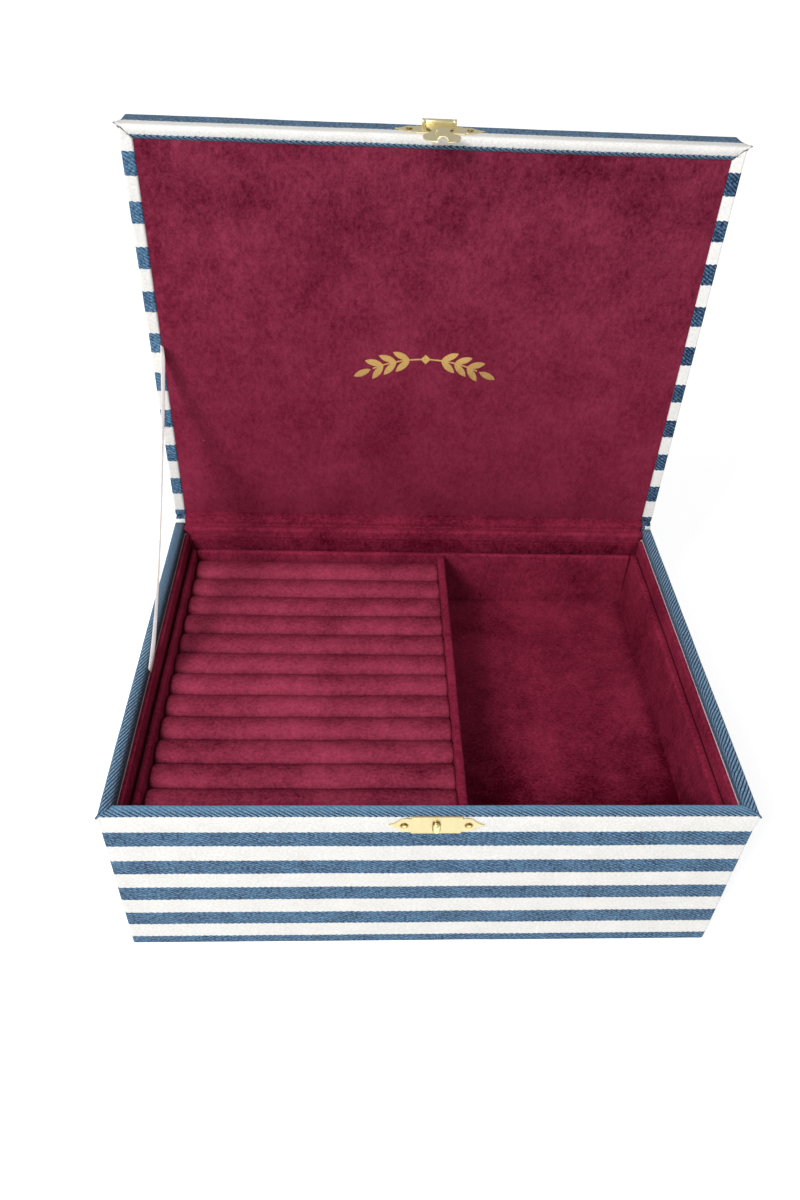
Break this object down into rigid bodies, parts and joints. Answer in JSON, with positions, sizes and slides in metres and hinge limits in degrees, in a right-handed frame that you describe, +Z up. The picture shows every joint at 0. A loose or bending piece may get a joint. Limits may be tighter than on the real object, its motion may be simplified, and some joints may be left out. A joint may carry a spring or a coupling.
{
  "type": "jewelry gift box",
  "caption": "Cloth-covered rigid jewelry box with a padded hinged lid on a ribbon stay, a lift-out tray with ring rolls and an open compartment, and a small brass hasp clasp.",
  "frame": {"origin": "centre of the base's underside", "axes": "+Z up, +X to the right as seen from the clasp side, -Y towards the front with the clasp; the lid stands open at rest"},
  "size_m": [0.26, 0.2131, 0.2918],
  "materials": {
    "grey_board": "matt",
    "striped_twill": "cream and denim-blue striped cotton twill, matt",
    "underside_paper": "matt",
    "cream_card": "matt",
    "burgundy_suede": "brushed suede cloth, soft nap",
    "pale_brass": "polished, stamped",
    "cream_ribbon": "satin ribbon",
    "gold_foil": "hot-stamped foil, bright",
    "foam": "matt"
  },
  "bodies": {
    "base": {"bottom_board": "grey_board", "front_board": "grey_board", "back_board": "grey_board", "left_board": "grey_board", "right_board": "grey_board", "base_wrap_cloth": "striped_twill", "base_back_cloth": "striped_twill", "underside_sheet": "underside_paper", "lining_card_front": "cream_card", "lining_card_back": "cream_card", "lining_card_left": "cream_card", "lining_card_right": "cream_card", "lining_front": "burgundy_suede", "lining_back": "burgundy_suede", "lining_left": "burgundy_suede", "lining_right": "burgundy_suede", "floor_lining": "burgundy_suede", "tray_ledge_left": "burgundy_suede", "tray_ledge_right": "burgundy_suede", "clasp_base_plate": "pale_brass", "clasp_catch": "pale_brass", "clasp_base_nails": "pale_brass", "hinge_cloth": "striped_twill", "hinge_suede": "burgundy_suede", "ribbon_stay": "cream_ribbon"},
    "lid": {"lid_board": "grey_board", "lid_rail_front": "grey_board", "lid_rail_back": "grey_board", "lid_rail_left": "grey_board", "lid_rail_right": "grey_board", "lid_wrap_cloth": "striped_twill", "lid_foam": "foam", "lid_lining_card": "grey_board", "lid_lining_pad": "burgundy_suede", "foil_sprig": "gold_foil", "clasp_lid_plate": "pale_brass", "clasp_pin": "pale_brass", "clasp_lid_nails": "pale_brass"},
    "hasp": {"hasp_flap": "pale_brass"},
    "tray": {"tray_floor": "burgundy_suede", "tray_front": "burgundy_suede", "tray_back": "burgundy_suede", "tray_left": "burgundy_suede", "tray_right": "burgundy_suede", "tray_divider": "burgundy_suede", "ring_bed": "foam", "ring_roll_1": "burgundy_suede", "ring_roll_2": "burgundy_suede", "ring_roll_3": "burgundy_suede", "ring_roll_4": "burgundy_suede", "ring_roll_5": "burgundy_suede", "ring_roll_6": "burgundy_suede", "ring_roll_7": "burgundy_suede", "ring_roll_8": "burgundy_suede", "ring_roll_9": "burgundy_suede", "ring_roll_10": "burgundy_suede", "ring_roll_11": "burgundy_suede", "ring_roll_12": "burgundy_suede"}
  },
  "joints": [
    {"name": "lid_hinge", "type": "hinge", "parent": "base", "child": "lid", "pos_m": [0, 0.09826, 0.0934], "axis": [1, 0, 0], "range_deg": [0, 90], "deforming": ["hinge_cloth", "hinge_suede", "ribbon_stay"]},
    {"name": "hasp_pivot", "type": "hinge", "parent": "lid", "child": "hasp", "pos_m": [0.001, 0.11006, 0.29036], "axis": [-1, 0, 0], "range_deg": [0, 170]},
    {"name": "tray_lift", "type": "slide", "parent": "base", "child": "tray", "axis": [0, 0, 1], "range_m": [0, 0.12]}
  ]
}
